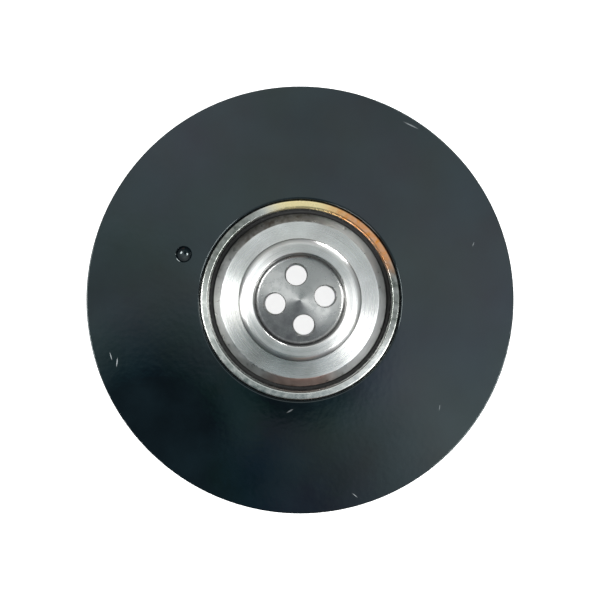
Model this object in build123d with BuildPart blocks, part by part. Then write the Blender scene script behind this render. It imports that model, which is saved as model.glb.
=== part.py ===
from build123d import *
from math import radians, tan
import os

# A crankshaft harmonic balancer with a six-groove belt pulley, in millimetres.
# The crankshaft axis is Z. The part stands on the front edge of the pulley rim
# at Z = 0, and the neck that goes into the engine's front seal points up.

# Inertia ring
inertia_diameter = 195.0
inertia_thickness = 16.7
inertia_back_radius = 4.5  # the rounded corner beside the pulley
inertia_face_bevel = 0.4  # the engine side is turned to an almost sharp corner
inertia_bore_bevel = 0.9

# Balancing hole drilled in the inertia ring
balance_hole_diameter = 7.0
balance_hole_depth = 3.5
balance_hole_distance = 57.0  # from the crankshaft axis
balance_hole_angle = 158.5
drill_point_angle = 118.0

# Steel sleeve between the rubber and the inertia ring
sleeve_wall = 4.2
sleeve_lip_bevel = 1.3  # the rounded lip on the engine side
sleeve_back_bevel = 0.5
sleeve_drop = 0.8  # how far the lip stays below the ring's face

# Rubber that carries the inertia ring
rubber_wall = 1.8
rubber_inset = 1.2  # how far the rubber stays back from the ends of its seat

# Neck that runs in the engine's front seal
neck_diameter = 53.0
neck_length = 26.9
neck_wall = 6.7
neck_edge_radius = 2.7
neck_root_bevel = 0.8

# Recess in the end of the neck that centres the hub on the crankshaft nose
pilot_depth = 12.0
pilot_floor_bevel = 1.5
pilot_mouth_bevel = 0.6

# Plate that the crankshaft bolts clamp
bolt_plate_thickness = 16.0
bolt_count = 4
bolt_hole_diameter = 9.5
bolt_hole_inset = 3.7  # metal between a bolt hole and the recess wall
bolt_turn = 8.6  # how far the first hole stands from the X axis

# Hub flange around the foot of the neck
flange_width = 13.5
flange_drop = 3.4  # how far the flange stays below the ring's face
flange_slope_width = 3.8
flange_slope_drop = 2.2

# Barrel that carries the pulley, with the well for the bolt heads
pulley_seat_width = 10.0  # flange shoulder that the pulley is pressed against
barrel_wall = 7.0
barrel_proud = 1.0  # how far the barrel stands forward of the pulley's boss
barrel_mouth_bevel = 1.0
well_floor_bevel = 2.0

# Belt pulley for a ribbed belt
groove_count = 6
groove_pitch = 3.56
groove_angle = 40.0
groove_depth = 2.95
rib_land = 0.65
rib_diameter = 166.0
front_flange_height = 2.0  # above the ribs
front_flange_width = 2.2
back_flange_height = 2.5
back_flange_width = 1.9
back_flange_lean = 1.0  # how far its edge leans away from the inertia ring
back_flange_lean_height = 9.0  # over this much of its height
flange_taper = 1.1  # axial run of the slope inside each flange
flange_edge_bevel = 0.5
front_margin = 5.7  # from the rim's front face to the first groove's middle
back_margin = 5.0
rim_wall = 4.5
web_thickness = 6.0
web_corner_bevel = 2.5
boss_wall = 8.0
boss_rise = 3.5  # how far the boss stands forward of the web
pulley_gap = 2.2  # running gap between the pulley and the inertia ring

# Heights along the crankshaft axis, from the front of the pulley
rim_width = front_margin + (groove_count - 1) * groove_pitch + back_margin
back_flange_edge = rim_width - back_flange_lean
ring_back = rim_width + pulley_gap
ring_face = ring_back + inertia_thickness
flange_face = ring_face - flange_drop
flange_edge = flange_face - flange_slope_drop
neck_end = flange_face + neck_length
pilot_floor = neck_end - pilot_depth
well_floor = pilot_floor - bolt_plate_thickness
web_front = rim_width - web_thickness
boss_front = web_front - boss_rise
barrel_front = boss_front - barrel_proud
lip_top = ring_face - sleeve_drop

# Radii, from the neck outwards
neck_radius = neck_diameter / 2
pilot_radius = neck_radius - neck_wall
bolt_circle_radius = pilot_radius - bolt_hole_inset - bolt_hole_diameter / 2
flange_radius = neck_radius + flange_width
barrel_radius = flange_radius - pulley_seat_width
well_radius = barrel_radius - barrel_wall
sleeve_bore_radius = flange_radius + rubber_wall
inertia_bore_radius = sleeve_bore_radius + sleeve_wall

# The belt grooves, each as wide as the pitch leaves beside its rib
rib_radius = rib_diameter / 2
front_flange_radius = rib_radius + front_flange_height
back_flange_radius = rib_radius + back_flange_height
groove_floor_radius = rib_radius - groove_depth
half_mouth = (groove_pitch - rib_land) / 2
half_root = half_mouth - groove_depth * tan(radians(groove_angle / 2))
groove_heights = [front_margin + index * groove_pitch for index in range(groove_count)]
rim_bore_radius = groove_floor_radius - rim_wall


def corners(*places, reach=0.01):
    """The corners of the sketch in hand that stand at these (radius, height) places."""
    found = ShapeList()
    for radius, height in places:
        beside = vertices().filter_by_position(Axis.X, radius - reach, radius + reach)
        found += beside.filter_by_position(Axis.Y, height - reach, height + reach)
    return found


# Hub: one forging with the neck, flange, bolt plate and pulley barrel
with BuildPart() as hub:
    with BuildSketch(Plane.XZ):
        with BuildLine():
            Polyline(
                (0, pilot_floor),
                (pilot_radius, pilot_floor),
                (pilot_radius, neck_end),
                (neck_radius, neck_end),
                (neck_radius, flange_face),
                (flange_radius - flange_slope_width, flange_face),
                (flange_radius, flange_edge),
                (flange_radius, rim_width),
                (barrel_radius, rim_width),
                (barrel_radius, barrel_front),
                (well_radius, barrel_front),
                (well_radius, well_floor),
                (0, well_floor),
                close=True,
            )
        make_face()
        fillet(corners((neck_radius, neck_end)), neck_edge_radius)
        chamfer(corners((neck_radius, flange_face)), neck_root_bevel)
        chamfer(corners((pilot_radius, pilot_floor)), pilot_floor_bevel)
        chamfer(corners((pilot_radius, neck_end)), pilot_mouth_bevel)
        chamfer(corners((well_radius, well_floor)), well_floor_bevel)
        chamfer(corners((barrel_radius, barrel_front), (well_radius, barrel_front)), barrel_mouth_bevel)
    revolve(axis=Axis.Z)
    with Locations(Plane.XY.offset(pilot_floor)):
        with PolarLocations(bolt_circle_radius, bolt_count, start_angle=bolt_turn):
            Hole(bolt_hole_diameter / 2, depth=bolt_plate_thickness)

# Rubber ring, vulcanised between the hub flange and the sleeve
with BuildPart() as damper_rubber:
    with BuildSketch(Plane.XZ):
        with BuildLine():
            Polyline(
                (flange_radius, ring_back + rubber_inset),
                (sleeve_bore_radius, ring_back + rubber_inset),
                (sleeve_bore_radius, flange_edge - rubber_inset),
                (flange_radius, flange_edge - rubber_inset),
                close=True,
            )
        make_face()
    revolve(axis=Axis.Z)

# Sleeve with a rounded lip, pressed into the inertia ring
with BuildPart() as ring_sleeve:
    with BuildSketch(Plane.XZ):
        with BuildLine():
            Polyline(
                (sleeve_bore_radius, ring_back),
                (inertia_bore_radius, ring_back),
                (inertia_bore_radius, lip_top),
                (sleeve_bore_radius, lip_top),
                close=True,
            )
        make_face()
        chamfer(corners((sleeve_bore_radius, lip_top), (inertia_bore_radius, lip_top)), sleeve_lip_bevel)
        chamfer(corners((sleeve_bore_radius, ring_back)), sleeve_back_bevel)
    revolve(axis=Axis.Z)

# Inertia ring with its balancing hole
with BuildPart() as inertia_ring:
    with BuildSketch(Plane.XZ):
        with BuildLine():
            Polyline(
                (inertia_bore_radius, ring_back),
                (inertia_diameter / 2, ring_back),
                (inertia_diameter / 2, ring_face),
                (inertia_bore_radius, ring_face),
                close=True,
            )
        make_face()
        fillet(corners((inertia_diameter / 2, ring_back)), inertia_back_radius)
        chamfer(corners((inertia_diameter / 2, ring_face)), inertia_face_bevel)
        chamfer(corners((inertia_bore_radius, ring_face)), inertia_bore_bevel)
    revolve(axis=Axis.Z)
    drill_tip = balance_hole_diameter / 2 / tan(radians(drill_point_angle / 2))
    with Locations(Plane.XY.offset(ring_face)):
        with PolarLocations(balance_hole_distance, 1, start_angle=balance_hole_angle):
            Hole(balance_hole_diameter / 2, depth=balance_hole_depth)
            with Locations((0, 0, -balance_hole_depth)):
                Cone(
                    0,
                    balance_hole_diameter / 2,
                    drill_tip,
                    align=(Align.CENTER, Align.CENTER, Align.MAX),
                    mode=Mode.SUBTRACT,
                )

# Belt pulley: a grooved rim on a dished web, pressed onto the hub barrel
with BuildPart() as belt_pulley:
    with BuildSketch(Plane.XZ):
        with BuildLine():
            Polyline(
                (rim_bore_radius, 0),
                (front_flange_radius, 0),
                (front_flange_radius, front_flange_width),
                (rib_radius, front_flange_width + flange_taper),
                (rib_radius, rim_width - back_flange_width - flange_taper),
                (back_flange_radius, rim_width - back_flange_width),
                (back_flange_radius, back_flange_edge),
                (back_flange_radius - back_flange_lean_height, rim_width),
                (barrel_radius, rim_width),
                (barrel_radius, boss_front),
                (barrel_radius + boss_wall, boss_front),
                (barrel_radius + boss_wall, web_front),
                (rim_bore_radius, web_front),
                close=True,
            )
        make_face()
        chamfer(corners((front_flange_radius, 0), (rim_bore_radius, 0)), flange_edge_bevel)
        chamfer(corners((back_flange_radius, back_flange_edge)), flange_edge_bevel)
        chamfer(corners((rim_bore_radius, web_front)), web_corner_bevel)
        with Locations(*[(0, height) for height in groove_heights]):
            Polygon(
                (rib_radius, -half_mouth),
                (rib_radius, half_mouth),
                (groove_floor_radius, half_root),
                (groove_floor_radius, -half_root),
                align=None,
                mode=Mode.SUBTRACT,
            )
    revolve(axis=Axis.Z)

hub.part.label = "hub"
damper_rubber.part.label = "damper_rubber"
ring_sleeve.part.label = "ring_sleeve"
inertia_ring.part.label = "inertia_ring"
belt_pulley.part.label = "belt_pulley"

os.makedirs("parts", exist_ok=True)
export_step(hub.part, "parts/hub.step")
export_step(damper_rubber.part, "parts/damper_rubber.step")
export_step(ring_sleeve.part, "parts/ring_sleeve.step")
export_step(inertia_ring.part, "parts/inertia_ring.step")
export_step(belt_pulley.part, "parts/belt_pulley.step")
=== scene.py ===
import math
import bmesh
import bpy
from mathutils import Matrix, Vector


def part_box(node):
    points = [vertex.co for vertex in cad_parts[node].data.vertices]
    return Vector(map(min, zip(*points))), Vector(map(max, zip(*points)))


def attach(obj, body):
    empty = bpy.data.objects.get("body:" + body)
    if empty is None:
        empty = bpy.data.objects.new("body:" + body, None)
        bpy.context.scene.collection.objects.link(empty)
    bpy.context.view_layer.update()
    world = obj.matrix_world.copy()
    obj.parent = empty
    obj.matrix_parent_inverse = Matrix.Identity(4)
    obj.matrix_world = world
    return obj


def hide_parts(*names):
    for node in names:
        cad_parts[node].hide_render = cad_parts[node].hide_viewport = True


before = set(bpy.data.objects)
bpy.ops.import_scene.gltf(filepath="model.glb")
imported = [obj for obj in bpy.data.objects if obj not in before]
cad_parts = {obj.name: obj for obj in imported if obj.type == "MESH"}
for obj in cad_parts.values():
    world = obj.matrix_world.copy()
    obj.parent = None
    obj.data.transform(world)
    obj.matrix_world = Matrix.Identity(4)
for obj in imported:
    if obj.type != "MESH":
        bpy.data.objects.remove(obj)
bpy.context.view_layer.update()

mm = 0.001
weldDistance = 1e-6  # points nearer than this are one point, in metres

# Radii and heights that the CAD nodes already have, in millimetres


def nodeSpan(name):
    low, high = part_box(name)
    return {
        "radius": round(high.x / mm, 2),
        "bottom": round(low.z / mm, 2),
        "top": round(high.z / mm, 2),
    }


hubSpan = nodeSpan("hub")
rubberSpan = nodeSpan("damper_rubber")
sleeveSpan = nodeSpan("ring_sleeve")
ringSpan = nodeSpan("inertia_ring")
pulleySpan = nodeSpan("belt_pulley")


# One call adds a node, sets it up and links it. In inputs, a socket is linked, a node is linked by
# its first output, and anything else is a value.


def addNode(tree, kind, settings=None, inputs=None):
    node = tree.nodes.new(kind)
    for name, value in (settings or {}).items():
        setattr(node, name, value)
    for socket, value in (inputs or {}).items():
        if isinstance(value, bpy.types.Node):
            value = value.outputs[0]
        if isinstance(value, bpy.types.NodeSocket):
            tree.links.new(value, node.inputs[socket])
        else:
            node.inputs[socket].default_value = value
    return node


def hexColour(code):
    channels = [int(code[place:place + 2], 16) / 255 for place in (1, 3, 5)]
    linear = [c / 12.92 if c <= 0.04045 else ((c + 0.055) / 1.055) ** 2.4 for c in channels]
    return (*linear, 1.0)


# Materials

acrossMarks = 0.25  # a quarter turn, so that highlights fan out across the tool marks
sectorCore = 0.3  # this share of a sector's half width is at full strength


def newMaterial(name, finish, look):
    # finish turns a look into the shader's inputs
    material = bpy.data.materials.new(name)
    material.use_nodes = True
    tree = material.node_tree
    tree.nodes.clear()
    point = addNode(tree, "ShaderNodeTexCoord").outputs["Object"]
    shader = addNode(tree, "ShaderNodeBsdfPrincipled", inputs=finish(tree, point, look))
    addNode(tree, "ShaderNodeOutputMaterial", inputs={"Surface": shader})
    return material


def noiseScale(spacing):
    return 1 / (spacing * mm)  # spacing is from one bright spot to the next, in millimetres


def ranged(value, low, high, fromLow=0.3, fromHigh=0.7):
    # Map Range inputs; most of a noise lies between 0.3 and 0.7
    return {"Value": value, "From Min": fromLow, "From Max": fromHigh, "To Min": low, "To Max": high}


def lathePoint(tree, point):
    # (distance from the axis, height, 0): what is turned on a lathe changes only with these two
    flat = addNode(tree, "ShaderNodeVectorMath", {"operation": "MULTIPLY"}, {0: point, 1: (1, 1, 0)})
    distance = addNode(tree, "ShaderNodeVectorMath", {"operation": "LENGTH"}, {0: flat})
    parts = addNode(tree, "ShaderNodeSeparateXYZ", inputs={0: point})
    return addNode(
        tree, "ShaderNodeCombineXYZ",
        inputs={"X": distance.outputs["Value"], "Y": parts.outputs["Z"]},
    )


def toolMarkSheen(tree, point, anisotropy):
    # the tangent runs round the axis, along the tool marks
    around = addNode(
        tree, "ShaderNodeVectorMath", {"operation": "CROSS_PRODUCT"}, {0: (0, 0, 1), 1: point}
    )
    tangent = addNode(tree, "ShaderNodeVectorMath", {"operation": "NORMALIZE"}, {0: around})
    return {"Anisotropic": anisotropy, "Anisotropic Rotation": acrossMarks, "Tangent": tangent}


def sectorMask(tree, point, middle, halfWidth):
    # 1 in the middle of a sector round the axis, 0 outside it; both in degrees
    flat = addNode(tree, "ShaderNodeVectorMath", {"operation": "MULTIPLY"}, {0: point, 1: (1, 1, 0)})
    unit = addNode(tree, "ShaderNodeVectorMath", {"operation": "NORMALIZE"}, {0: flat})
    aim = (math.cos(math.radians(middle)), math.sin(math.radians(middle)), 0)
    near = addNode(tree, "ShaderNodeVectorMath", {"operation": "DOT_PRODUCT"}, {0: unit, 1: aim})
    return addNode(
        tree, "ShaderNodeMapRange", {"interpolation_type": "SMOOTHSTEP"},
        {
            "Value": near.outputs["Value"],
            "From Min": math.cos(math.radians(halfWidth)),
            "From Max": math.cos(math.radians(halfWidth * sectorCore)),
        },
    )


def paintLayers(tree, base, *layers):
    # lays each colour over the last one where its mask is 1
    colour = hexColour(base)
    for mask, code in layers:
        colour = addNode(
            tree, "ShaderNodeMix", {"data_type": "RGBA"}, {0: mask, 6: colour, 7: hexColour(code)}
        ).outputs[2]
    return colour


def relief(tree, *layers):
    # stacks bumps, each a pattern and its depth in millimetres
    below = {}
    for pattern, depth in layers:
        inputs = {"Height": pattern, "Distance": depth * mm, **below}
        below = {"Normal": addNode(tree, "ShaderNodeBump", inputs=inputs)}
    return below["Normal"]


turnedSteelLook = {
    "colour": "#d2d2d0",
    "darkColour": "#b4b3b0",
    "cloudSpacing": 14,
    "roughness": (0.22, 0.34),
    "anisotropy": 0.85,
    "markSpacing": 0.9,  # the real feed marks are about 0.2 mm apart, drawn coarser so that they show
    "markDepth": 0.003,
    "waveSpacing": 3.2,  # chatter of the turning tool
    "waveDepth": 0.02,
}

groundSteelLook = {
    "colour": "#d0d0ce",
    "darkColour": "#b9b9b7",
    "cloudSpacing": 14,
    "roughness": (0.13, 0.2),
    "anisotropy": 0.55,
    "markSpacing": 0.6,
    "markDepth": 0.002,  # ground for the seal's lip
    "waveSpacing": 5.0,
    "waveDepth": 0.01,
}


def turnedFinish(tree, point, look):
    # Forged steel turned on a lathe and left bare: bright, with fine rings that fan the light out
    lathe = lathePoint(tree, point)
    rings = addNode(tree, "ShaderNodeTexNoise", inputs={
        "Vector": lathe, "Scale": noiseScale(look["markSpacing"]), "Detail": 3.0, "Roughness": 0.7,
    })
    waves = addNode(tree, "ShaderNodeTexNoise", inputs={
        "Vector": lathe, "Scale": noiseScale(look["waveSpacing"]), "Detail": 0.0,
    })
    cloud = addNode(tree, "ShaderNodeTexNoise", inputs={
        "Vector": point, "Scale": noiseScale(look["cloudSpacing"]), "Detail": 3.0,
    })
    darker = addNode(tree, "ShaderNodeMapRange", inputs=ranged(cloud, 0, 1))
    return {
        "Base Color": paintLayers(tree, look["colour"], (darker, look["darkColour"])),
        "Metallic": 1.0,
        "Roughness": addNode(tree, "ShaderNodeMapRange", inputs=ranged(rings, *look["roughness"])),
        "Normal": relief(tree, (waves, look["waveDepth"]), (rings, look["markDepth"])),
        **toolMarkSheen(tree, point, look["anisotropy"]),
    }


# A tint is a colour, the middle and half width of its sector in degrees, whether it is patchy,
# and how many millimetres it reaches down from the sleeve's lip, or None for all the way.
recessSteelLook = {
    "colour": "#a2a2a0",
    "tints": [
        ("#626264", 248, 88, True, None),  # painted shade: the recess floor darker in this sector, a dark reflection painted into the colour
    ],
    "roughness": (0.24, 0.34),
    "anisotropy": 0.62,
}

# The hub's slope, with painted shade and a painted pink reflection in two sectors
paintedShadeSlopeLook = {
    "colour": "#c6c7c6",
    "tints": [
        ("#5a544d", 108, 50, True, None),  # painted shade: a dark brown sector where the slope lies in shade
        ("#b8a49c", 270, 30, False, None),  # painted reflection: a pink sector, the warm wall mirrored in the slope
    ],
    "roughness": (0.26, 0.4),
    "anisotropy": 0.6,
}

bareSteelLook = {
    "colour": "#b9bab6",
    "tints": [
        ("#474c47", 143, 38, True, None),  # darker grey green, in two sectors
        ("#474c47", 2, 36, True, None),
        ("#dccb9a", 84, 30, False, 1.6),  # straw and then orange, in two sectors near the lip
        ("#c47d35", 46, 34, True, 1.6),
    ],
    "roughness": (0.18, 0.3),
    "anisotropy": 0.4,
}

tintedSurface = {
    "markSpacing": 0.8,
    "markDepth": 0.006,
    "mottleSpacing": 2.6,
    "mottleDepth": 0.01,
    "thinnest": 0.55,  # a patchy tint's strength where it is thinnest
}


def tintedFinish(tree, point, look):
    # Turned steel with tints, each in its own sector: painted shade in the recess, painted shade and a
    # painted pink reflection on the slope, and straw, orange and darker grey green on the lip
    surface = tintedSurface
    rings = addNode(tree, "ShaderNodeTexNoise", inputs={
        "Vector": lathePoint(tree, point), "Scale": noiseScale(surface["markSpacing"]),
    })
    mottle = addNode(tree, "ShaderNodeTexNoise", inputs={
        "Vector": point, "Scale": noiseScale(surface["mottleSpacing"]), "Detail": 4.0,
    })
    patches = addNode(tree, "ShaderNodeMapRange", inputs=ranged(mottle, surface["thinnest"], 1.0))
    height = addNode(tree, "ShaderNodeSeparateXYZ", inputs={0: point}).outputs["Z"]
    lip = sleeveSpan["top"]
    layers = []
    for colour, middle, halfWidth, patchy, reach in look["tints"]:
        mask = sectorMask(tree, point, middle, halfWidth)
        limits = []
        if reach:
            fade = ranged(height, 0, 1, (lip - reach) * mm, (lip - reach / 2) * mm)
            limits.append(addNode(tree, "ShaderNodeMapRange", inputs=fade))
        if patchy:
            limits.append(patches)
        for limit in limits:
            mask = addNode(tree, "ShaderNodeMath", {"operation": "MULTIPLY"}, {0: mask, 1: limit})
        layers.append((mask, colour))
    return {
        "Base Color": paintLayers(tree, look["colour"], *layers),
        "Metallic": 1.0,
        "Roughness": addNode(tree, "ShaderNodeMapRange", inputs=ranged(mottle, *look["roughness"])),
        "Normal": relief(tree, (mottle, surface["mottleDepth"]), (rings, surface["markDepth"])),
        **toolMarkSheen(tree, point, look["anisotropy"]),
    }


bondedRubberLook = {
    "colour": "#0c0c0c",
    "grainColour": "#1c1b1a",
    "roughness": (0.5, 0.75),
    "grainSpacing": 0.6,
    "grainDepth": 0.03,
}


def rubberFinish(tree, point, look):
    # Black nitrile rubber moulded in place: dull, faintly grainy
    grain = addNode(tree, "ShaderNodeTexNoise", inputs={
        "Vector": point, "Scale": noiseScale(look["grainSpacing"]), "Detail": 4.0,
    })
    return {
        "Base Color": paintLayers(tree, look["colour"], (grain, look["grainColour"])),
        "Roughness": addNode(tree, "ShaderNodeMapRange", inputs=ranged(grain, *look["roughness"])),
        "Normal": relief(tree, (grain, look["grainDepth"])),
    }


blackEnamelLook = {
    "colour": "#080d11",
    "haze": "#0f191e",
    "hazeSpacing": 22,
    "gleam": "#ebf9fa",  # what it mirrors comes back a little blue
    "ior": 1.52,
    "roughness": (0.035, 0.09),
    "peelSpacing": 2.6,  # orange peel of a dipped and baked enamel
    "peelDepth": 0.014,
    "bareMetal": "#b4b8ba",
    "bareRoughness": 0.35,  # added where the enamel is knocked off
    "scratchCore": 0.3,  # this share of a scratch is at full strength
    "edgeWear": ((214, 32), (342, 20)),  # where the face's edge is chipped, middle and half width in degrees
    "edgeWearWidth": 0.6,
    "chipSpacing": 3.0,
    "chipStrength": 0.7,
    "chipRange": (0.5, 0.58),  # the narrower, the crisper the chips
}

# Knocks in the enamel of the face: x, y, length, width in millimetres, direction in degrees, strength
faceScratches = [
    (-86.2, -25.6, 4.6, 0.5, 106, 0.8),
    (-83.4, -28.4, 5.0, 0.6, 84, 0.9),
    (25.0, -89.0, 4.0, 0.5, 140, 0.6),
    (50.6, 79.6, 9.0, 0.7, 154, 0.5),
    (79.0, 25.4, 2.6, 0.6, 70, 0.35),
    (63.6, -49.0, 3.2, 0.5, 80, 0.35),
    (-4.6, -50.6, 4.2, 0.9, 30, 0.3),
]


def scratchMask(tree, point, look):
    # a thin ellipse for each knock, the strongest one taken
    total = 0.0
    for x, y, length, width, direction, strength in faceScratches:
        local = addNode(
            tree, "ShaderNodeMapping", {"vector_type": "TEXTURE"},
            {
                "Vector": point,
                "Location": (x * mm, y * mm, ringSpan["top"] * mm),
                "Rotation": (0, 0, math.radians(direction)),
                "Scale": (length / 2 * mm, width / 2 * mm, mm),
            },
        )
        away = addNode(tree, "ShaderNodeVectorMath", {"operation": "LENGTH"}, {0: local})
        mark = addNode(
            tree, "ShaderNodeMapRange", {"interpolation_type": "SMOOTHSTEP"},
            ranged(away.outputs["Value"], 0.0, strength, 1.0, look["scratchCore"]),
        )
        total = addNode(tree, "ShaderNodeMath", {"operation": "MAXIMUM"}, {0: total, 1: mark})
    return total


def edgeWearMask(tree, point, look):
    # chips along the outer edge of the face, only in two stretches
    edge = (ringSpan["radius"] * mm, ringSpan["top"] * mm, 0)
    away = addNode(
        tree, "ShaderNodeVectorMath", {"operation": "DISTANCE"}, {0: lathePoint(tree, point), 1: edge}
    )
    nearEdge = ranged(away.outputs["Value"], 0, 1, look["edgeWearWidth"] * mm, 0.0)
    noise = addNode(tree, "ShaderNodeTexNoise", inputs={
        "Vector": point, "Scale": noiseScale(look["chipSpacing"]), "Detail": 5.0, "Roughness": 0.7,
    })
    chips = ranged(noise, 0, look["chipStrength"], *look["chipRange"])
    where = 0.0
    for stretch in look["edgeWear"]:
        mask = sectorMask(tree, point, *stretch)
        where = addNode(tree, "ShaderNodeMath", {"operation": "ADD"}, {0: where, 1: mask})
    for limit in (nearEdge, chips):
        share = addNode(tree, "ShaderNodeMapRange", inputs=limit)
        where = addNode(tree, "ShaderNodeMath", {"operation": "MULTIPLY"}, {0: where, 1: share})
    return where


def enamelFinish(tree, point, look):
    # Baked black enamel, flowed out to a near mirror with a faint orange peel and a few knocks
    peel = addNode(tree, "ShaderNodeTexNoise", inputs={
        "Vector": point, "Scale": noiseScale(look["peelSpacing"]), "Detail": 1.0,
    })
    cloud = addNode(tree, "ShaderNodeTexNoise", inputs={
        "Vector": point, "Scale": noiseScale(look["hazeSpacing"]), "Detail": 4.0,
    })
    hazy = addNode(tree, "ShaderNodeMapRange", inputs=ranged(cloud, 0, 1))
    smooth = addNode(tree, "ShaderNodeMapRange", inputs=ranged(cloud, *look["roughness"]))
    damage = addNode(
        tree, "ShaderNodeMath", {"operation": "MAXIMUM"},
        {0: scratchMask(tree, point, look), 1: edgeWearMask(tree, point, look)},
    )
    return {
        "Base Color": paintLayers(
            tree, look["colour"], (hazy, look["haze"]), (damage, look["bareMetal"])
        ),
        "Roughness": addNode(
            tree, "ShaderNodeMath", {"operation": "MULTIPLY_ADD"},
            {0: damage, 1: look["bareRoughness"], 2: smooth},
        ),
        "IOR": look["ior"],
        "Specular Tint": hexColour(look["gleam"]),
        "Normal": relief(tree, (peel, look["peelDepth"])),
    }


phosphatedSteelLook = {
    "colour": "#9b9c96",
    "darkColour": "#7d7e79",
    "metallic": 0.6,
    "roughness": (0.42, 0.56),
    "anisotropy": 0.5,
    "markSpacing": 0.7,
    "markDepth": 0.006,
    "grainSpacing": 1.4,
    "grainDepth": 0.006,
}


def phosphatedFinish(tree, point, look):
    # Machined steel with a thin grey phosphate coat: satin, slightly warm
    rings = addNode(tree, "ShaderNodeTexNoise", inputs={
        "Vector": lathePoint(tree, point), "Scale": noiseScale(look["markSpacing"]), "Detail": 3.0,
    })
    grain = addNode(tree, "ShaderNodeTexNoise", inputs={
        "Vector": point, "Scale": noiseScale(look["grainSpacing"]), "Detail": 5.0, "Roughness": 0.65,
    })
    darker = addNode(tree, "ShaderNodeMapRange", inputs=ranged(grain, 0, 1))
    return {
        "Base Color": paintLayers(tree, look["colour"], (darker, look["darkColour"])),
        "Metallic": look["metallic"],
        "Roughness": addNode(tree, "ShaderNodeMapRange", inputs=ranged(grain, *look["roughness"])),
        "Normal": relief(tree, (grain, look["grainDepth"]), (rings, look["markDepth"])),
        **toolMarkSheen(tree, point, look["anisotropy"]),
    }


labelPaperLook = {
    "colour": "#d4d6d6",
    "fibreColour": "#c6c9c9",
    "roughness": 0.55,
    "fibreSpacing": 0.5,
    "fibreDepth": 0.01,
}


def paperFinish(tree, point, look):
    # Matt white synthetic paper with a faint fibre
    fibre = addNode(tree, "ShaderNodeTexNoise", inputs={
        "Vector": point, "Scale": noiseScale(look["fibreSpacing"]), "Detail": 4.0,
    })
    return {
        "Base Color": paintLayers(tree, look["colour"], (fibre, look["fibreColour"])),
        "Roughness": look["roughness"],
        "Normal": relief(tree, (fibre, look["fibreDepth"])),
    }


turnedSteel = newMaterial("turnedSteel", turnedFinish, turnedSteelLook)
# the recess floor, with one sector of painted shade
recessSteel = newMaterial("recessSteel", tintedFinish, recessSteelLook)
groundSteel = newMaterial("groundSteel", turnedFinish, groundSteelLook)
bareSteel = newMaterial("bareSteel", tintedFinish, bareSteelLook)
# the hub's slope, with painted shade and a painted reflection
stainedSteel = newMaterial("stainedSteel", tintedFinish, paintedShadeSlopeLook)
bondedRubber = newMaterial("bondedRubber", rubberFinish, bondedRubberLook)
blackEnamel = newMaterial("blackEnamel", enamelFinish, blackEnamelLook)
phosphatedSteel = newMaterial("phosphatedSteel", phosphatedFinish, phosphatedSteelLook)
labelPaper = newMaterial("labelPaper", paperFinish, labelPaperLook)
print("materials made")


# Outlines of the turned pieces. A corner is (radius, height, rounding, zone), in millimetres,
# and its zone number says which material the outline has from this corner on.

roundingStep = math.radians(12)  # the most that one facet of a rounding turns
leastTurn = 0.01  # straighter corners than this, in radians, aren't rounded
supportGap = 0.12  # a ring this near each rounding keeps the flats beside it flat


def roundedOutline(corners):
    points = []  # (radius, height, zone) all the way round
    count = len(corners)
    for index, (radius, height, rounding, zone) in enumerate(corners):
        here = Vector((radius, height))
        before = Vector(corners[index - 1][:2])
        after = Vector(corners[(index + 1) % count][:2])
        back = (before - here).normalized()
        ahead = (after - here).normalized()
        turn = math.pi - back.angle(ahead)
        if rounding == 0 or turn < leastTurn:
            points.append((radius, height, zone))
            continue
        reach = rounding * math.tan(turn / 2)
        centre = here + (back + ahead).normalized() * (rounding / math.cos(turn / 2))
        start = here + back * reach - centre
        steps = max(2, math.ceil(turn / roundingStep))
        side = 1 if back.y * ahead.x - back.x * ahead.y > 0 else -1  # left turn or right turn
        points.append((*(here + back * (reach + supportGap)), corners[index - 1][3]))
        for step in range(steps + 1):
            angle = side * turn * step / steps
            spoke = Vector((
                start.x * math.cos(angle) - start.y * math.sin(angle),
                start.x * math.sin(angle) + start.y * math.cos(angle),
            ))
            points.append((*(centre + spoke), zone))
        points.append((*(here + ahead * (reach + supportGap)), zone))
    return points


def outlineObject(name, corners):
    # one chain of edges for each run of a zone, drawn in the plane of radius and height
    points = roundedOutline(corners)
    vertices, edges, zones = [], [], []
    closed = points + points[:1]
    for (r0, z0, zone), (r1, z1, _) in zip(closed, closed[1:]):
        if not zones or zones[-1] != zone:
            vertices.append((r0 * mm, 0, z0 * mm))
            zones.append(zone)
        vertices.append((r1 * mm, 0, z1 * mm))
        zones.append(zone)
        edges.append((len(vertices) - 2, len(vertices) - 1))
    mesh = bpy.data.meshes.new(name)
    mesh.from_pydata(vertices, edges, [])
    mesh.attributes.new("zone", "INT", "POINT").data.foreach_set("value", zones)
    piece = bpy.data.objects.new(name, mesh)
    bpy.context.scene.collection.objects.link(piece)
    return piece


# Geometry Nodes trees


def newTree(name, sockets):
    tree = bpy.data.node_groups.new(name, "GeometryNodeTree")
    tree.interface.new_socket("Geometry", in_out="INPUT", socket_type="NodeSocketGeometry")
    for label, kind in sockets.items():
        tree.interface.new_socket(label, in_out="INPUT", socket_type="NodeSocket" + kind)
    tree.interface.new_socket("Geometry", in_out="OUTPUT", socket_type="NodeSocketGeometry")
    return tree, addNode(tree, "NodeGroupInput").outputs


materialInputs = ("First Material", "Second Material", "Third Material", "Fourth Material")


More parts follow.
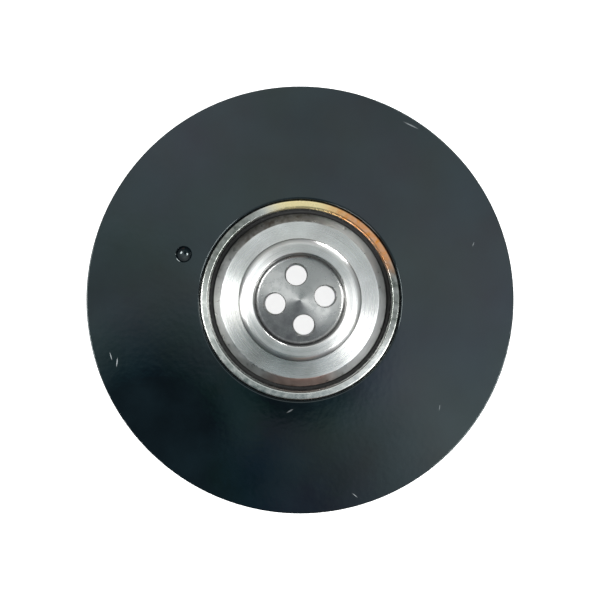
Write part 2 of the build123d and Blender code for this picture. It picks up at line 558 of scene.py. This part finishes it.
def latheTree():
    # turns an outline of radius and height round the Z axis
    tree, given = newTree("latheOutline", {
        "Segments": "Int",
        "Path Radius": "Float",
        "Merge Distance": "Float",
        **dict.fromkeys(materialInputs, "Material"),
    })
    outline = addNode(tree, "GeometryNodeMeshToCurve", inputs={"Mesh": given["Geometry"]})
    place = addNode(tree, "GeometryNodeInputPosition")
    parts = addNode(tree, "ShaderNodeSeparateXYZ", inputs={0: place})
    offset = addNode(
        tree, "ShaderNodeMath", {"operation": "SUBTRACT"},
        {0: parts.outputs["X"], 1: given["Path Radius"]},
    )
    down = addNode(tree, "ShaderNodeMath", {"operation": "MULTIPLY"}, {0: parts.outputs["Z"], 1: -1.0})
    across = addNode(tree, "ShaderNodeCombineXYZ", inputs={"X": offset, "Y": down})
    section = addNode(
        tree, "GeometryNodeSetPosition", inputs={"Geometry": outline, "Position": across}
    )
    path = addNode(
        tree, "GeometryNodeCurvePrimitiveCircle", {"mode": "RADIUS"},
        {"Resolution": given["Segments"], "Radius": given["Path Radius"]},
    )
    turned = addNode(
        tree, "GeometryNodeCurveToMesh", inputs={"Curve": path, "Profile Curve": section}
    )
    zone = addNode(tree, "GeometryNodeInputNamedAttribute", {"data_type": "INT"}, {"Name": "zone"})
    painted = addNode(tree, "GeometryNodeRealizeInstances", inputs={0: turned})
    for number, label in enumerate(materialInputs):
        there = addNode(
            tree, "FunctionNodeCompare", {"data_type": "INT", "operation": "EQUAL"},
            {2: zone.outputs["Attribute"], 3: number},
        )
        painted = addNode(
            tree, "GeometryNodeSetMaterial",
            inputs={"Geometry": painted, "Selection": there, "Material": given[label]},
        )
    merged = addNode(
        tree, "GeometryNodeMergeByDistance",
        inputs={"Geometry": painted, "Distance": given["Merge Distance"]},
    )
    addNode(tree, "NodeGroupOutput", inputs={0: merged})
    return tree


def drillTree():
    # sets a drill at even angles on a circle and cuts the piece with all of them
    tree, given = newTree("drillHoles", {
        "Drill": "Object",
        "Holes": "Int",
        "Circle Radius": "Float",
        "First Angle": "Float",
        "Material": "Material",
    })
    index = addNode(tree, "GeometryNodeInputIndex")
    share = addNode(tree, "ShaderNodeMath", {"operation": "DIVIDE"}, {0: index, 1: given["Holes"]})
    angle = addNode(
        tree, "ShaderNodeMath", {"operation": "MULTIPLY_ADD"},
        {0: share, 1: math.tau, 2: given["First Angle"]},
    )
    cosine = addNode(tree, "ShaderNodeMath", {"operation": "COSINE"}, {0: angle})
    sine = addNode(tree, "ShaderNodeMath", {"operation": "SINE"}, {0: angle})
    spoke = addNode(tree, "ShaderNodeCombineXYZ", inputs={"X": cosine, "Y": sine})
    place = addNode(
        tree, "ShaderNodeVectorMath", {"operation": "SCALE"},
        {0: spoke, "Scale": given["Circle Radius"]},
    )
    points = addNode(tree, "GeometryNodePoints", inputs={"Count": given["Holes"], "Position": place})
    drill = addNode(
        tree, "GeometryNodeObjectInfo", {"transform_space": "ORIGINAL"}, {"Object": given["Drill"]}
    )
    drills = addNode(
        tree, "GeometryNodeInstanceOnPoints",
        inputs={"Points": points, "Instance": drill.outputs["Geometry"]},
    )
    whole = addNode(tree, "GeometryNodeRealizeInstances", inputs={0: drills})
    painted = addNode(
        tree, "GeometryNodeSetMaterial", inputs={"Geometry": whole, "Material": given["Material"]}
    )
    cut = addNode(
        tree, "GeometryNodeMeshBoolean", {"operation": "DIFFERENCE", "solver": "EXACT"},
        {"Mesh 1": given["Geometry"], "Mesh 2": painted},
    )
    addNode(tree, "NodeGroupOutput", inputs={0: cut})
    return tree


def applyTree(piece, tree, values):
    modifier = piece.modifiers.new(tree.name, "NODES")
    modifier.node_group = tree
    for item in tree.interface.items_tree:
        if item.in_out == "INPUT" and item.name in values:
            modifier[item.identifier] = values[item.name]
    graph = bpy.context.evaluated_depsgraph_get()
    mesh = bpy.data.meshes.new_from_object(piece.evaluated_get(graph))
    piece.modifiers.remove(modifier)
    piece.data = mesh


latheOutline = latheTree()
drillHoles = drillTree()

turning = {
    "segments": 256,
    "drillSegments": 64,
    "pathRadius": 50.0,  # the lathe's own circle, in millimetres, which doesn't change the piece
    "drillPast": 1.0,  # how far a drill runs out of the face it cuts
    "sharpAngle": 32,  # steeper edges than this many degrees are shaded sharp
}


def closeShape(mesh):
    # doubles on the axis and between zones go, and all faces point outwards
    shape = bmesh.new()
    shape.from_mesh(mesh)
    bmesh.ops.remove_doubles(shape, verts=shape.verts, dist=weldDistance)
    bmesh.ops.recalc_face_normals(shape, faces=shape.faces)
    shape.to_mesh(mesh)
    shape.free()


def turnPiece(name, corners, materials, segments=turning["segments"]):
    # a corner's zone number picks the material, and unused numbers get the first one
    piece = outlineObject(name, corners)
    spare = materials[:1] * (len(materialInputs) - len(materials))
    applyTree(piece, latheOutline, {
        "Segments": segments,
        "Path Radius": turning["pathRadius"] * mm,
        "Merge Distance": weldDistance,
        **dict(zip(materialInputs, materials + spare)),
    })
    closeShape(piece.data)
    return piece


def drillPiece(piece, drill, holes, circle, turn, material):
    applyTree(piece, drillHoles, {
        "Drill": drill,
        "Holes": holes,
        "Circle Radius": circle * mm,
        "First Angle": math.radians(turn),
        "Material": material,
    })
    bpy.data.objects.remove(drill)


def finishPiece(piece, node=None):
    mesh = piece.data
    closeShape(mesh)
    mesh.shade_smooth()
    mesh.set_sharp_from_angle(angle=math.radians(turning["sharpAngle"]))
    mesh.name = piece.name
    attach(piece, "root")
    if node:
        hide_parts(node)
    print(piece.name, "has", len(mesh.polygons), "faces")


# Hub

hubSizes = {
    "neckRadius": 26.5,
    "neckEdge": 2.7,
    "neckRoot": 0.8,
    "sealTrackDrop": 0.6,  # the ground track starts this far below the neck's rounded edge
    "neckLength": 26.9,
    "pilotRadius": 19.8,
    "pilotDepth": 12.0,
    "pilotFloorEdge": 1.5,
    "pilotMouthEdge": 0.6,
    "boltPlate": 16.0,
    "slopeWidth": 3.8,
    "slopeDrop": 2.2,
    "slopeEdge": 0.6,
    "flangeEdge": 0.5,
    "shoulderEdge": 0.2,
    "barrelRadius": 30.0,
    "barrelEdge": 1.0,
    "wellRadius": 23.0,
    "wellFloorEdge": 2.0,
    "holeCount": 4,
    "holeRadius": 4.75,
    "holeCircle": 11.35,
    "holeTurn": 8.6,
    "holeEdge": 0.35,
}


def hubPiece():
    size = hubSizes
    neckEnd = hubSpan["top"]
    flangeFace = neckEnd - size["neckLength"]
    flangeEdge = flangeFace - size["slopeDrop"]
    pilotFloor = neckEnd - size["pilotDepth"]
    wellFloor = pilotFloor - size["boltPlate"]
    flange = hubSpan["radius"]
    front = hubSpan["bottom"]
    seat = pulleySpan["top"]
    hub = turnPiece("hubTurned", [
        (0, pilotFloor, 0, 1),
        (size["pilotRadius"], pilotFloor, size["pilotFloorEdge"], 1),
        (size["pilotRadius"], neckEnd, size["pilotMouthEdge"], 0),
        (size["neckRadius"], neckEnd, size["neckEdge"], 0),
        (size["neckRadius"], neckEnd - size["neckEdge"] - size["sealTrackDrop"], 0, 3),
        (size["neckRadius"], flangeFace, size["neckRoot"], 0),
        (flange - size["slopeWidth"], flangeFace, size["slopeEdge"], 2),
        (flange, flangeEdge, size["flangeEdge"], 2),
        (flange, seat, size["shoulderEdge"], 0),
        (size["barrelRadius"], seat, 0, 0),
        (size["barrelRadius"], front, size["barrelEdge"], 0),
        (size["wellRadius"], front, size["barrelEdge"], 0),
        (size["wellRadius"], wellFloor, size["wellFloorEdge"], 0),
        (0, wellFloor, 0, 0),
    ], [turnedSteel, recessSteel, stainedSteel, groundSteel])
    mouth = size["holeRadius"] + size["holeEdge"]
    past = turning["drillPast"]
    drill = turnPiece("boltDrill", [
        (0, wellFloor - past, 0, 0),
        (mouth + past, wellFloor - past, 0, 0),
        (size["holeRadius"], wellFloor + size["holeEdge"], 0, 0),
        (size["holeRadius"], pilotFloor - size["holeEdge"], 0, 0),
        (mouth + past, pilotFloor + past, 0, 0),
        (0, pilotFloor + past, 0, 0),
    ], [turnedSteel], turning["drillSegments"])
    drillPiece(hub, drill, size["holeCount"], size["holeCircle"], size["holeTurn"], turnedSteel)
    finishPiece(hub, "hub")


hubPiece()


# Rubber between the hub flange and the sleeve

rubberSizes = {"dip": 0.45, "dipRounding": 1.6}


def rubberPiece():
    inner = hubSpan["radius"]
    outer = rubberSpan["radius"]
    middle = (inner + outer) / 2
    dip = rubberSizes["dip"]
    rounding = rubberSizes["dipRounding"]
    rubber = turnPiece("damperRubber", [
        (inner, rubberSpan["bottom"], 0, 0),
        (middle, rubberSpan["bottom"] + dip, rounding, 0),
        (outer, rubberSpan["bottom"], 0, 0),
        (outer, rubberSpan["top"], 0, 0),
        (middle, rubberSpan["top"] - dip, rounding, 0),
        (inner, rubberSpan["top"], 0, 0),
    ], [bondedRubber])
    finishPiece(rubber, "damper_rubber")


rubberPiece()


# Sleeve with its rounded lip

sleeveSizes = {"lipRounding": 1.15, "backRounding": 0.5}


def sleevePiece():
    inner = rubberSpan["radius"]
    outer = sleeveSpan["radius"]
    lip = sleeveSizes["lipRounding"]
    sleeve = turnPiece("ringSleeve", [
        (inner, sleeveSpan["bottom"], sleeveSizes["backRounding"], 0),
        (outer, sleeveSpan["bottom"], 0, 0),
        (outer, sleeveSpan["top"], lip, 0),
        (inner, sleeveSpan["top"], lip, 0),
    ], [bareSteel])
    finishPiece(sleeve, "ring_sleeve")


sleevePiece()


# Inertia ring with its balancing hole

ringSizes = {
    "segments": 320,
    "backRounding": 4.5,
    "backBoreRounding": 0.3,
    "faceRounding": 0.5,
    "boreRounding": 0.9,
    "holeRadius": 3.5,
    "holeDepth": 3.5,
    "holeEdge": 0.3,
    "holeRounding": 0.4,
    "holeDistance": 57.0,
    "holeAngle": 158.5,
    "drillPoint": 118.0,
}


def ringPiece():
    size = ringSizes
    bore = sleeveSpan["radius"]
    face = ringSpan["top"]
    ring = turnPiece("inertiaRing", [
        (bore, ringSpan["bottom"], size["backBoreRounding"], 0),
        (ringSpan["radius"], ringSpan["bottom"], size["backRounding"], 0),
        (ringSpan["radius"], face, size["faceRounding"], 0),
        (bore, face, size["boreRounding"], 0),
    ], [blackEnamel], size["segments"])
    past = turning["drillPast"]
    floor = face - size["holeDepth"]
    tip = size["holeRadius"] / math.tan(math.radians(size["drillPoint"] / 2))
    drill = turnPiece("balanceDrill", [
        (0, floor - tip, 0, 0),
        (size["holeRadius"], floor, size["holeRounding"], 0),
        (size["holeRadius"], face - size["holeEdge"], size["holeRounding"], 0),
        (size["holeRadius"] + size["holeEdge"] + past, face + past, 0, 0),
        (0, face + past, 0, 0),
    ], [blackEnamel], turning["drillSegments"])
    drillPiece(ring, drill, 1, size["holeDistance"], size["holeAngle"], blackEnamel)
    finishPiece(ring, "inertia_ring")


ringPiece()


# Belt pulley

pulleySizes = {
    "grooveCount": 6,
    "groovePitch": 3.56,
    "grooveAngle": 40.0,
    "grooveDepth": 2.95,
    "ribLand": 0.65,
    "ribTip": 0.22,
    "grooveRoot": 0.3,
    "ribRadius": 83.0,
    "frontFlangeRadius": 85.0,
    "frontFlangeWidth": 2.2,
    "backFlangeWidth": 1.9,
    "backFlangeLean": 1.0,
    "backFlangeLeanHeight": 9.0,
    "flangeTaper": 1.1,
    "flangeEdge": 0.6,
    "frontEdge": 0.8,
    "taperRoot": 0.3,
    "backFlangeEdge": 0.35,
    "leanRounding": 1.0,
    "frontMargin": 5.7,
    "rimWall": 4.5,
    "webThickness": 6.0,
    "webCorner": 2.5,
    "bossWall": 8.0,
    "bossRise": 3.5,
    "bossEdge": 0.8,
    "bossRoot": 2.0,
}


def grooveCorners():
    size = pulleySizes
    ribs = size["ribRadius"]
    floor = ribs - size["grooveDepth"]
    halfMouth = (size["groovePitch"] - size["ribLand"]) / 2
    halfRoot = halfMouth - size["grooveDepth"] * math.tan(math.radians(size["grooveAngle"] / 2))
    corners = []
    for index in range(size["grooveCount"]):
        middle = size["frontMargin"] + index * size["groovePitch"]
        corners.append((ribs, middle - halfMouth, size["ribTip"], 0))
        corners.append((floor, middle - halfRoot, size["grooveRoot"], 0))
        corners.append((floor, middle + halfRoot, size["grooveRoot"], 0))
        corners.append((ribs, middle + halfMouth, size["ribTip"], 0))
    return corners


def pulleyPiece():
    size = pulleySizes
    width = pulleySpan["top"]
    ribs = size["ribRadius"]
    rimBore = ribs - size["grooveDepth"] - size["rimWall"]
    web = width - size["webThickness"]
    boss = web - size["bossRise"]
    seat = hubSizes["barrelRadius"]
    front = size["frontFlangeRadius"]
    back = pulleySpan["radius"]
    backInside = width - size["backFlangeWidth"]
    hubWall = seat + size["bossWall"]
    edge = size["flangeEdge"]
    taper = size["flangeTaper"]
    pulley = turnPiece("beltPulley", [
        (rimBore, 0, edge, 0),
        (front, 0, size["frontEdge"], 0),
        (front, size["frontFlangeWidth"], edge, 0),
        (ribs, size["frontFlangeWidth"] + taper, size["taperRoot"], 0),
        *grooveCorners(),
        (ribs, backInside - taper, size["taperRoot"], 0),
        (back, backInside, size["backFlangeEdge"], 0),
        (back, width - size["backFlangeLean"], size["backFlangeEdge"], 1),
        (back - size["backFlangeLeanHeight"], width, size["leanRounding"], 1),
        (seat, width, 0, 1),
        (seat, boss, 0, 1),
        (hubWall, boss, size["bossEdge"], 1),
        (hubWall, web, size["bossRoot"], 1),
        (rimBore, web, size["webCorner"], 1),
    ], [phosphatedSteel, blackEnamel])
    finishPiece(pulley, "belt_pulley")


pulleyPiece()


# Blank label on the rim of the inertia ring

labelSizes = {
    "fromAngle": 44.0,
    "toAngle": 64.0,
    "bottom": 35.0,
    "top": 45.7,
    "corner": 2.0,
    "thickness": 0.08,
    "sunk": 0.01,  # its back lies this deep in the enamel, so that no gap shows
    "columns": 40,
    "rows": 4,
}


def labelPiece():
    size = labelSizes
    radius = ringSpan["radius"]
    halfLength = math.radians(size["toAngle"] - size["fromAngle"]) * radius / 2
    halfHeight = (size["top"] - size["bottom"]) / 2
    middleAngle = math.radians(size["fromAngle"] + size["toAngle"]) / 2
    middleHeight = (size["top"] + size["bottom"]) / 2
    shape = bmesh.new()
    sheets = []
    for level in (radius - size["sunk"], radius + size["thickness"]):
        sheet = []
        for column in range(size["columns"] + 1):
            # columns crowd towards the ends, where the corners are round
            along = -halfLength * math.cos(math.pi * column / size["columns"])
            into = max(0, abs(along) - (halfLength - size["corner"]))
            drop = size["corner"] - math.sqrt(max(0, size["corner"] ** 2 - into ** 2))
            angle = middleAngle + along / radius
            line = []
            for row in range(size["rows"] + 1):
                height = middleHeight + (halfHeight - drop) * (2 * row / size["rows"] - 1)
                line.append(shape.verts.new((
                    level * mm * math.cos(angle), level * mm * math.sin(angle), height * mm,
                )))
            sheet.append(line)
        sheets.append(sheet)
    inner, outer = sheets
    last, top = size["columns"], size["rows"]
    for column in range(last):
        for row in range(top):
            for sheet in sheets:
                shape.faces.new((
                    sheet[column][row], sheet[column + 1][row],
                    sheet[column + 1][row + 1], sheet[column][row + 1],
                ))
        for row in (0, top):
            shape.faces.new((
                inner[column][row], inner[column + 1][row], outer[column + 1][row], outer[column][row],
            ))
    for column in (0, last):
        for row in range(top):
            shape.faces.new((
                inner[column][row], inner[column][row + 1], outer[column][row + 1], outer[column][row],
            ))
    mesh = bpy.data.meshes.new("blankLabel")
    shape.to_mesh(mesh)
    shape.free()
    mesh.materials.append(labelPaper)
    label = bpy.data.objects.new("blankLabel", mesh)
    bpy.context.scene.collection.objects.link(label)
    finishPiece(label)


labelPiece()
print("pieces made")


# Floor, light and camera

studio = {  # lengths in millimetres
    "floorRadius": 500.0,
    "floorSides": 96,
    "floorDrop": 0.1,  # just under the part, so that the two don't share a plane
    "floorColour": "#f2f2f0",
    "floorRoughness": 0.7,
    "floorGlow": 0.85,
    "cameraHeight": 412.0,  # worked out from how the neck outgrows its foot in the photograph
    "cameraNear": 10.0,
    "lens": 48.0,
}


def floorFinish(tree, point, look):
    # Matt pale board that glows a little, so that it stays white under the part
    return {
        "Base Color": hexColour(look["floorColour"]),
        "Roughness": look["floorRoughness"],
        "Emission Color": (1, 1, 1, 1),
        "Emission Strength": look["floorGlow"],
    }


def studioFloor():
    shape = bmesh.new()
    bmesh.ops.create_circle(
        shape, cap_ends=True, segments=studio["floorSides"], radius=studio["floorRadius"] * mm
    )
    mesh = bpy.data.meshes.new("studioFloor")
    shape.to_mesh(mesh)
    shape.free()
    mesh.materials.append(newMaterial("paleFloor", floorFinish, studio))
    floor = bpy.data.objects.new("studioFloor", mesh)
    bpy.context.scene.collection.objects.link(floor)
    floor.location.z = -studio["floorDrop"] * mm
    floor.visible_glossy = False  # the metal mirrors the dark room, not a white sheet


domeBase = (0.2, 0.22, 0.23)
domeDarkest = (0.03, 0.055, 0.065)
# Each patch adds light to the dome round one direction, or takes it away:
# azimuth, elevation, half width in degrees, gain, colour
domePatches = {
    "room": (70, 12, 115, 0.34, "#ffffff"),
    "ceiling": (40, 90, 48, 0.62, "#f0f8f8"),
    "ceilingRight": (328, 74, 27, 0.55, "#f4f8ff"),
    "ceilingUpDark": (42, 76, 18, -0.22, "#ffffff"),
    "ceilingDark": (250, 74, 17, -1.05, "#ffffff"),
    "ceilingLeftDark": (198, 75, 12, -0.2, "#ffffff"),
    "behindCamera": (285, 87, 7, -0.8, "#ffffff"),
    "brightWall": (115, 52, 34, 0.35, "#ffffff"),
    "darkCorner": (240, 22, 60, -0.15, "#ffffff"),
    "warmWall": (275, 34, 16, 0.35, "#ffb9a0"),
}
patchCore = 0.25  # this share of a patch's half width is at full strength
ceilingCloud = {"scale": 8.0, "strength": 0.42}


def directionTo(azimuth, elevation):
    turn, rise = math.radians(azimuth), math.radians(elevation)
    return Vector((math.cos(turn) * math.cos(rise), math.sin(turn) * math.cos(rise), math.sin(rise)))


def studioDome():
    world = bpy.data.worlds.new("studioDome")
    bpy.context.scene.world = world
    world.use_nodes = True
    tree = world.node_tree
    tree.nodes.clear()
    aim = addNode(tree, "ShaderNodeTexCoord").outputs["Generated"]
    light = domeBase
    for azimuth, elevation, halfWidth, gain, colour in domePatches.values():
        middle = directionTo(azimuth, elevation)
        near = addNode(tree, "ShaderNodeVectorMath", {"operation": "DOT_PRODUCT"}, {0: aim, 1: middle})
        patch = addNode(
            tree, "ShaderNodeMapRange", {"interpolation_type": "SMOOTHSTEP"},
            {
                "Value": near.outputs["Value"],
                "From Min": math.cos(math.radians(halfWidth)),
                "From Max": math.cos(math.radians(halfWidth * patchCore)),
                "To Max": gain,
            },
        )
        light = addNode(
            tree, "ShaderNodeVectorMath", {"operation": "MULTIPLY_ADD"},
            {0: patch, 1: hexColour(colour)[:3], 2: light},
        )
    cloud = addNode(tree, "ShaderNodeTexNoise", inputs={"Vector": aim, "Scale": ceilingCloud["scale"]})
    uneven = addNode(
        tree, "ShaderNodeVectorMath", {"operation": "SUBTRACT"},
        {0: cloud.outputs["Color"], 1: (0.5, 0.5, 0.5)},
    )
    light = addNode(
        tree, "ShaderNodeVectorMath", {"operation": "MULTIPLY_ADD"},
        {0: uneven, 1: (ceilingCloud["strength"],) * 3, 2: light},
    )
    above = addNode(tree, "ShaderNodeVectorMath", {"operation": "MAXIMUM"}, {0: light, 1: domeDarkest})
    path = addNode(tree, "ShaderNodeLightPath")
    dome = addNode(tree, "ShaderNodeBackground", inputs={"Color": above})
    seen = addNode(tree, "ShaderNodeBackground", inputs={"Color": (1, 1, 1, 1)})  # white backdrop
    mixed = addNode(
        tree, "ShaderNodeMixShader", inputs={0: path.outputs["Is Camera Ray"], 1: dome, 2: seen}
    )
    addNode(tree, "ShaderNodeOutputWorld", inputs={"Surface": mixed})


# Azimuth, elevation and distance of each light, its width and height in metres, and its radiance
softboxes = {
    "leftSoftbox": (182, 62, 1.8, 0.5, 0.34, 20.0),
    "rightSoftbox": (328, 62, 1.8, 0.58, 0.34, 20.0),
    "eastStrip": (56, 2, 1.4, 0.8, 0.45, 22.0),
    "southEastStrip": (320, 2, 1.4, 0.9, 0.45, 1.3),
    "westStrip": (188, 20, 1.4, 0.4, 0.5, 9.0),
}
lowestSoftbox = 30  # lights lower than this, in degrees, are strips that only show as reflections


def studioLights():
    target = Vector((0, 0, ringSpan["top"] * mm))
    for name, (azimuth, elevation, distance, width, height, radiance) in softboxes.items():
        aim = directionTo(azimuth, elevation)
        lamp = bpy.data.lights.new(name, "AREA")
        lamp.shape = "RECTANGLE"
        lamp.size = width
        lamp.size_y = height
        lamp.energy = radiance * math.pi * width * height
        light = bpy.data.objects.new(name, lamp)
        light.location = target + aim * distance
        light.rotation_euler = aim.to_track_quat("Z", "Y").to_euler()
        light.visible_camera = False
        light.visible_diffuse = elevation > lowestSoftbox
        bpy.context.scene.collection.objects.link(light)


def studioCamera():
    data = bpy.data.cameras.new("photoCamera")
    data.lens = studio["lens"]
    data.clip_start = studio["cameraNear"] * mm
    camera = bpy.data.objects.new("photoCamera", data)
    camera.location = (0, 0, studio["cameraHeight"] * mm)
    bpy.context.scene.collection.objects.link(camera)
    bpy.context.scene.camera = camera


studioFloor()
studioDome()
studioLights()
studioCamera()
bpy.context.scene.view_settings.view_transform = "Standard"
print("studio made")
